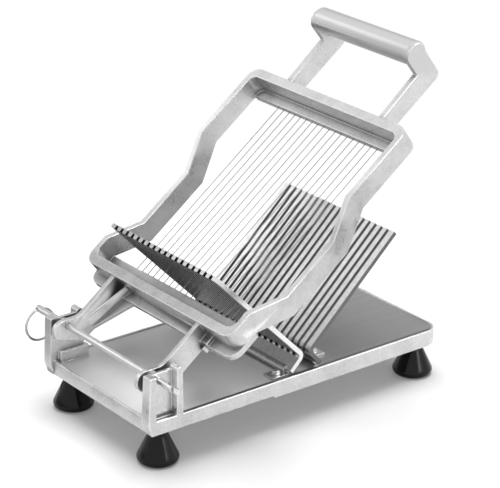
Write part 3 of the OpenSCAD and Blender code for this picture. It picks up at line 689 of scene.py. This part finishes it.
def footShell():
    # rim: quarter circle and a bit, up to where the cone's side leans; then the side, a short throat
    # and the neck
    lean = math.radians(foot["lean"])
    mid = foot["widest"] - foot["rim"]
    a = np.linspace(-np.pi / 2, lean, foot["rimSteps"])
    rimR, rimZ = mid + foot["rim"] * np.cos(a), foot["rim"] * (1 + np.sin(a))
    coneTop = rimZ[-1] + (rimR[-1] - foot["neck"]) / math.tan(lean)
    sideZ = np.linspace(rimZ[-1], coneTop - foot["throat"], foot["sideSteps"])[1:]
    sideR = rimR[-1] - (sideZ - rimZ[-1]) * math.tan(lean)
    # throat: the side's lean fades out evenly, so that the radius falls as a parabola to the neck
    t = np.linspace(0, 1, foot["throatSteps"])[1:]
    throatZ = sideZ[-1] + 2 * foot["throat"] * t
    throatR = sideR[-1] - 2 * foot["throat"] * math.tan(lean) * (t - t * t / 2)
    corner = np.linspace(0, np.pi / 2, foot["topSteps"])
    n = foot["neckRound"]
    topR, topZ = foot["neck"] - n + n * np.cos(corner), foot["height"] - n + n * np.sin(corner)
    soleR = np.array(foot["soleRings"]) * mid
    soleZ = np.full(len(soleR), foot["hollow"])
    radius = np.concatenate([soleR, rimR, sideR, throatR, topR, [foot["topRing"]]])
    height = np.concatenate([soleZ, rimZ, sideZ, throatZ, topZ, [foot["height"]]])
    return turnedShell(np.tile(radius, (foot["turns"], 1)), height)


for end in ("front", "rear"):
    for side, sign in (("left", -1), ("right", 1)):
        shell = shifted(footShell(), sign * foot["x"], foot[end + "Y"])
        name = "rubberFoot" + end.title() + side.title()
        newPiece(name, joined([shell], place), rubber, "base", "black_rubber", end + "_" + side + "_foot")
print("feet made")


# Hexagon bolts, nuts and washers of the bed plates; across is measured over the corners
bolt = {"across": 9.25, "head": 3.5, "bevel": 0.55, "bevelShare": 0.94, "shank": 5.0, "lug": 2.5, "tail": 2.0,
        "frontX": 79.0, "rearX": 62.0, "turns": 72}
washer = {"thick": 1.0, "bore": 2.7, "radius": 5.0, "edge": 0.2}
nut = {"thick": 4.0, "bore": 2.5, "radius": 4.2, "edge": 0.4}
# Thread: a groove, and a run-out over which it fades at each end
thread = {"pitch": 0.8, "groove": 0.3, "fade": 0.5, "runOut": 0.3, "perPitch": 10, "leastSteps": 12,
          "turns": 36}


def hexRadius(angle, circle):
    # distance from the middle to the side of a hexagon whose corners lie on the circle
    third = np.pi / 3
    return circle * math.cos(third / 2) / np.cos((angle + third / 2) % third - third / 2)


def hexShell(low, high, circle, bevelLow, bevelHigh):
    # radius(angle, s) = the lesser of the hexagon and the limit of the turned bevel at s
    bevelled = circle * math.cos(math.pi / 6) * bolt["bevelShare"]
    limit = np.array([bevelled if bevelLow else circle, circle, circle, bevelled if bevelHigh else circle])
    height = np.array([low, low + bolt["bevel"], high - bolt["bevel"], high])
    return turnedShell(np.minimum(hexRadius(fullTurn(bolt["turns"]), circle), limit[None, :]), height)


def threadShell(low, high, radius):
    # radius(angle, z) falls below the outer radius in a cosine groove that climbs one pitch each turn
    steps = max(thread["leastSteps"], int((high - low) / thread["pitch"] * thread["perPitch"]))
    height = np.linspace(low, high, steps)
    climb = 2 * np.pi * height[None, :] / thread["pitch"] - fullTurn(thread["turns"])
    groove = thread["groove"] * (0.5 - 0.5 * np.cos(climb))
    ends = np.minimum(1, np.minimum(height - low, high - height) / thread["fade"])
    return turnedShell(radius - groove - thread["runOut"] * (1 - ends), height)


def ringShell(low, high, shape, circle=None):
    # flat ring with bevelled outer edges; with a circle given, its outside is a hexagon
    inner, outer, edge = shape["bore"], shape["radius"], shape["edge"]
    limit = np.array([inner, outer - edge, outer, outer, outer - edge, inner])
    height = np.array([low, low, low + edge, high - edge, high, high])
    radius = np.tile(limit, (bolt["turns"], 1))
    if circle:
        side = hexRadius(fullTurn(bolt["turns"]), circle)
        radius = np.where(limit[None, :] > inner, np.minimum(side, limit[None, :]), limit[None, :])
    return turnedRing(radius, height)


def boltPlaces():
    # both rows of bolts, half a hexagon's width inside the box of the CAD bolts
    low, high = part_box("bed_bolts")
    half = bolt["across"] / 2 * math.cos(math.pi / 6)
    frontY = low.y / mm + layout["centreY"] + half
    rearY = high.y / mm + layout["centreY"] - half
    return [(sign * bolt[row], y) for row, y in (("frontX", frontY), ("rearX", rearY)) for sign in (-1, 1)]


seat = layout["trayZ"] + bolt["lug"]
headLow = seat + washer["thick"]
nutLow = layout["underZ"] - nut["thick"]
circle = bolt["across"] / 2
bolts, washers, nuts = [], [], []
for x, y in boltPlaces():
    bolts.append(shifted(hexShell(headLow, headLow + bolt["head"], circle, False, True), x, y))
    bolts.append(shifted(threadShell(nutLow - bolt["tail"], headLow, bolt["shank"] / 2), x, y))
    washers.append(shifted(ringShell(seat, headLow, washer), x, y))
    nuts.append(shifted(ringShell(nutLow, layout["underZ"], nut, circle), x, y))
newPiece("bedBolts", joined(bolts, place), screwSteel, "base", "plain_steel", "bed_bolts")
newPiece("bedWashers", joined(washers, place), screwSteel, "base", "plain_steel", "bed_washers")
newPiece("bedNuts", joined(nuts, place), screwSteel, "base", "plain_steel", "bed_nuts")
print("bed bolts made")


# Tension screws and the laced wire, drawn along the arm
lace = {"drop": -27.0, "thick": 0.9, "nearTurn": 90.0, "farTurn": 341.0, "socket": 4.0, "sides": 12,
        "turnSteps": 14, "runSteps": 9, "smooth": 60}
screw = {"tip": 86.0, "flange": 60.5, "head": 3.5, "across": 7.4, "shank": 4.0}
screwWasher = {"thick": 1.0, "bore": 2.2, "radius": 4.0, "edge": 0.2}


def alongArm(points):
    # local z runs along the arm, from a screw's seat
    return placeArm(np.stack([points[:, 0], points[:, 2], points[:, 1] + lace["drop"]], -1))


screws, screwWashers = [], []
for x in (firstX, -firstX):
    low = screw["flange"] - screwWasher["thick"]
    screws.append(shifted(hexShell(low - screw["head"], low, screw["across"] / 2, True, False), x, 0))
    screws.append(shifted(threadShell(low, screw["tip"], screw["shank"] / 2), x, 0))
    screwWashers.append(shifted(ringShell(low, screw["flange"], screwWasher), x, 0))
newPiece("tensionScrews", joined(screws, alongArm), screwSteel, "arm", "plain_steel", "tension_screws")
newPiece("tensionWashers", joined(screwWashers, alongArm), screwSteel, "arm", "plain_steel",
         "tension_washers")


def lacedPath():
    # straight runs to and fro, joined by half circles in turn at the far and the near end
    half = layout["wirePitch"] / 2
    swing = np.linspace(0, np.pi, lace["turnSteps"])
    start = screw["tip"] - lace["socket"]
    last = layout["wireCount"] - 1
    rows = [[[firstX, start]]]
    for i in range(layout["wireCount"]):
        x = firstX + i * layout["wirePitch"]
        outward = i % 2 == 0
        near = start if i in (0, last) else lace["nearTurn"]
        ends = (near, lace["farTurn"]) if outward else (lace["farTurn"], near)
        run = np.linspace(*ends, lace["runSteps"])[1:-1]
        rows.append(np.stack([np.full(len(run), x), run], -1))
        if i < last:
            middle, sign = (lace["farTurn"], 1) if outward else (lace["nearTurn"], -1)
            rows.append(np.stack([x + half - half * np.cos(swing), middle + sign * half * np.sin(swing)], -1))
    flat = np.vstack(rows + [[[-firstX, start]]])
    return placeArm(np.column_stack([flat, np.full(len(flat), lace["drop"])]))


acrossArm = np.array([0.0, -math.sin(armTurn), math.cos(armTurn)])
wireShell = sweptTube(lacedPath(), lace["thick"] / 2 * mm, acrossArm, lace["sides"])
newPiece("lacedWire", wireShell, wireSteel, "arm", "wire_steel", "cutting_wires", "wire_turns",
         smoothAngle=lace["smooth"])
print("wire and tension screws made")


# Pull ring: one turn of wire, cut through at its foot
ring = {"x": -124.6, "radius": 17.6, "thick": 2.6, "gap": 1.2, "steps": 120, "sides": 18, "smooth": 60}


def ringPath():
    # circle about the x direction, short of a full turn by the gap at its lowest point
    reach = np.pi - math.radians(ring["gap"])
    angle = np.linspace(-reach, reach, ring["steps"])
    y = layout["hingeY"] + ring["radius"] * np.sin(angle)
    z = layout["hingeZ"] - ring["radius"] + ring["radius"] * np.cos(angle)
    return place(np.stack([np.full(ring["steps"], ring["x"]), y, z], -1))


ringTube = sweptTube(ringPath(), ring["thick"] / 2 * mm, np.array([1.0, 0.0, 0.0]), ring["sides"])
newPiece("pullRing", ringTube, pinSteel, "ring", "plain_steel", "pull_ring", smoothAngle=ring["smooth"])
for node in ("foot_studs", "tab_rivet"):
    for slot in nodes[node].material_slots:
        slot.material = screwSteel
print("ring made")


# Stage: pale floor, soft light, and cards that only reflections see
stage = {"floor": 9.0, "floorDrop": 0.0003, "floorTone": 0.84, "floorLift": 0.12, "ambient": 0.38,
         "shadowReach": 0.4, "whiteFrom": 1.0, "middle": (0.0, 0.0, 0.15), "upward": (0.0, 0.01, 1.0)}


def aimed(spot, target):
    # matrix that turns local -z from the spot towards the target
    back = (Vector(spot) - Vector(target)).normalized()
    right = Vector(stage["upward"]).cross(back).normalized()
    turn = Matrix((right, back.cross(right), back)).transposed().to_4x4()
    return Matrix.Translation(Vector(spot)) @ turn


def flatPanel(name, size, turn):
    # a level panel about the origin, put in place by the matrix, and the nodes of its own material
    w, h = size[0] / 2, size[1] / 2
    corners = [tuple(turn @ Vector(c)) for c in ((-w, -h, 0), (w, -h, 0), (w, h, 0), (-w, h, 0))]
    mesh = bpy.data.meshes.new(name)
    mesh.from_pydata(corners, [], [(0, 1, 2, 3)])
    panel = bpy.data.objects.new(name, mesh)
    scene.collection.objects.link(panel)
    material = bpy.data.materials.new(name)
    material.use_nodes = True
    mesh.materials.append(material)
    return panel, material.node_tree


def mixShaders(tree, factor, a, b):
    node = tree.nodes.new("ShaderNodeMixShader")
    for value, socket in zip((factor, a, b), node.inputs):
        tree.links.new(value, socket)
    return node.outputs[0]


def seenRays(tree):
    # 1 for rays that the camera sees, straight, mirrored or through a clear piece, and 0 for the others
    path = tree.nodes.new("ShaderNodeLightPath").outputs
    seen = mathNode(tree, "MAXIMUM", path["Is Camera Ray"], path["Is Glossy Ray"])
    return mathNode(tree, "MAXIMUM", seen, path["Is Transmission Ray"])


def makeFloor():
    drop = Matrix.Translation(Vector((0.0, 0.0, -stage["floorDrop"])))
    floor, tree = flatPanel("floor", (stage["floor"], stage["floor"]), drop)
    tree.nodes.remove(tree.nodes["Principled BSDF"])
    matte = tree.nodes.new("ShaderNodeBsdfDiffuse")
    matte.inputs["Color"].default_value = grey(stage["floorTone"])
    lift = tree.nodes.new("ShaderNodeEmission")
    lift.inputs["Strength"].default_value = stage["floorLift"]
    both = tree.nodes.new("ShaderNodeAddShader")
    tree.links.new(matte.outputs[0], both.inputs[0])
    tree.links.new(lift.outputs[0], both.inputs[1])
    # plain white away from the middle, beyond the shadows
    coords = tree.nodes.new("ShaderNodeTexCoord")
    reach = tree.nodes.new("ShaderNodeVectorMath")
    reach.operation = "LENGTH"
    tree.links.new(coords.outputs["Object"], reach.inputs[0])
    white = tree.nodes.new("ShaderNodeEmission")
    beyond = rampNode(tree, reach.outputs["Value"], stage["shadowReach"], stage["whiteFrom"])
    shown = mixShaders(tree, beyond, both.outputs[0], white.outputs[0])
    chosen = mixShaders(tree, seenRays(tree), matte.outputs[0], shown)
    tree.links.new(chosen, tree.nodes["Material Output"].inputs["Surface"])


def makeWorld():
    # plain white where it is seen, and a weaker even light from it
    world = bpy.data.worlds.new("studio")
    scene.world = world
    world.use_nodes = True
    tree = world.node_tree
    ambient = tree.nodes["Background"]
    white = tree.nodes.new("ShaderNodeBackground")
    for background, strength in ((ambient, stage["ambient"]), (white, 1.0)):
        background.inputs["Color"].default_value = grey(1.0)
        background.inputs["Strength"].default_value = strength
    chosen = mixShaders(tree, seenRays(tree), ambient.outputs[0], white.outputs[0])
    tree.links.new(chosen, tree.nodes["World Output"].inputs["Surface"])


lamps = {"overhead": {"spot": (-0.2, 0.2, 1.9), "size": (1.6, 1.6), "watts": 40.0, "inMetal": False},
         "leftKey": {"spot": (-1.9, -1.1, 1.5), "size": (0.9, 0.9), "watts": 2.0},
         "rightStrip": {"spot": (1.6, 0.85, 0.95), "size": (1.5, 0.6), "watts": 18.0, "onFloor": False}}


def addLamp(name, settings):
    data = bpy.data.lights.new(name, "AREA")
    data.shape = "RECTANGLE"
    data.size, data.size_y = settings["size"]
    data.energy = settings["watts"]
    lamp = bpy.data.objects.new(name, data)
    scene.collection.objects.link(lamp)
    lamp.matrix_world = aimed(settings["spot"], stage["middle"])
    lamp.visible_glossy = settings.get("inMetal", True)
    lamp.visible_diffuse = settings.get("onFloor", True)


# Cards face their target, or straight up where none is given
cards = {"backFlag": {"spot": (-1.55, 1.25, 0.85), "target": stage["middle"],
                      "size": (2.6, 1.3), "glow": 0.6},
         "rightGlow": {"spot": (0.84, 0.76, 0.02), "size": (0.4, 0.4), "glow": 1.2},
         "rightFlag": {"spot": (0.51, 0.3, 0.02), "size": (0.16, 0.24), "glow": 0.05},
         "barFlag": {"spot": (-0.26, -0.2, 0.35), "target": (0.0, -0.13, 0.14),
                     "size": (0.14, 0.3), "glow": 0.62},
         "leftFlag": {"spot": (-0.65, -0.05, 0.02), "size": (1.1, 0.3), "glow": 0.08},
         "leftRearFlag": {"spot": (-0.65, 0.42, 0.02), "size": (1.1, 0.64), "glow": 0.5},
         "frontFlag": {"spot": (-0.5, -0.5, 0.02), "size": (0.84, 0.56), "glow": 0.5},
         "skirtFlag": {"spot": (-0.02, -0.236, 0.02), "size": (0.16, 0.028), "glow": 0.4}}


def addCard(name, settings):
    # flag beside the set with an even glow, which only shows in the metal
    x, y, z = settings["spot"]
    target = settings.get("target", (x, y, z + 1.0))
    card, tree = flatPanel(name, settings["size"], aimed(settings["spot"], target))
    surface = tree.nodes["Principled BSDF"].inputs
    surface["Base Color"].default_value = grey(0.0)
    surface["Specular IOR Level"].default_value = 0.0
    surface["Emission Color"].default_value = grey(1.0)
    surface["Emission Strength"].default_value = settings["glow"]
    card.visible_camera = False
    card.visible_diffuse = False
    card.visible_shadow = False


makeFloor()
makeWorld()
for name, settings in lamps.items():
    addLamp(name, settings)
for name, settings in cards.items():
    addCard(name, settings)
print("stage made")


# Camera at the photo's viewing angle; the focal length is in pixels of the photo
view = {"place": (1.64117, -1.29796, 1.0324), "azimuth": 51.557, "elevation": 22.446, "roll": 0.904,
        "focal": 2171.73, "imageWidth": 500.0, "sensor": 36.0}


def addCamera():
    a, e, r = (math.radians(view[k]) for k in ("azimuth", "elevation", "roll"))
    back = Vector((math.sin(a) * math.cos(e), -math.cos(a) * math.cos(e), math.sin(e)))
    level = Vector((math.cos(a), math.sin(a), 0.0))
    upright = back.cross(level)
    right = level * math.cos(r) + upright * math.sin(r)
    up = upright * math.cos(r) - level * math.sin(r)
    data = bpy.data.cameras.new("photoCamera")
    data.sensor_width = view["sensor"]
    data.lens = view["focal"] / view["imageWidth"] * view["sensor"]
    camera = bpy.data.objects.new("photoCamera", data)
    scene.collection.objects.link(camera)
    turn = Matrix((right, up, back)).transposed().to_4x4()
    camera.matrix_world = Matrix.Translation(Vector(view["place"])) @ turn
    scene.camera = camera


addCamera()
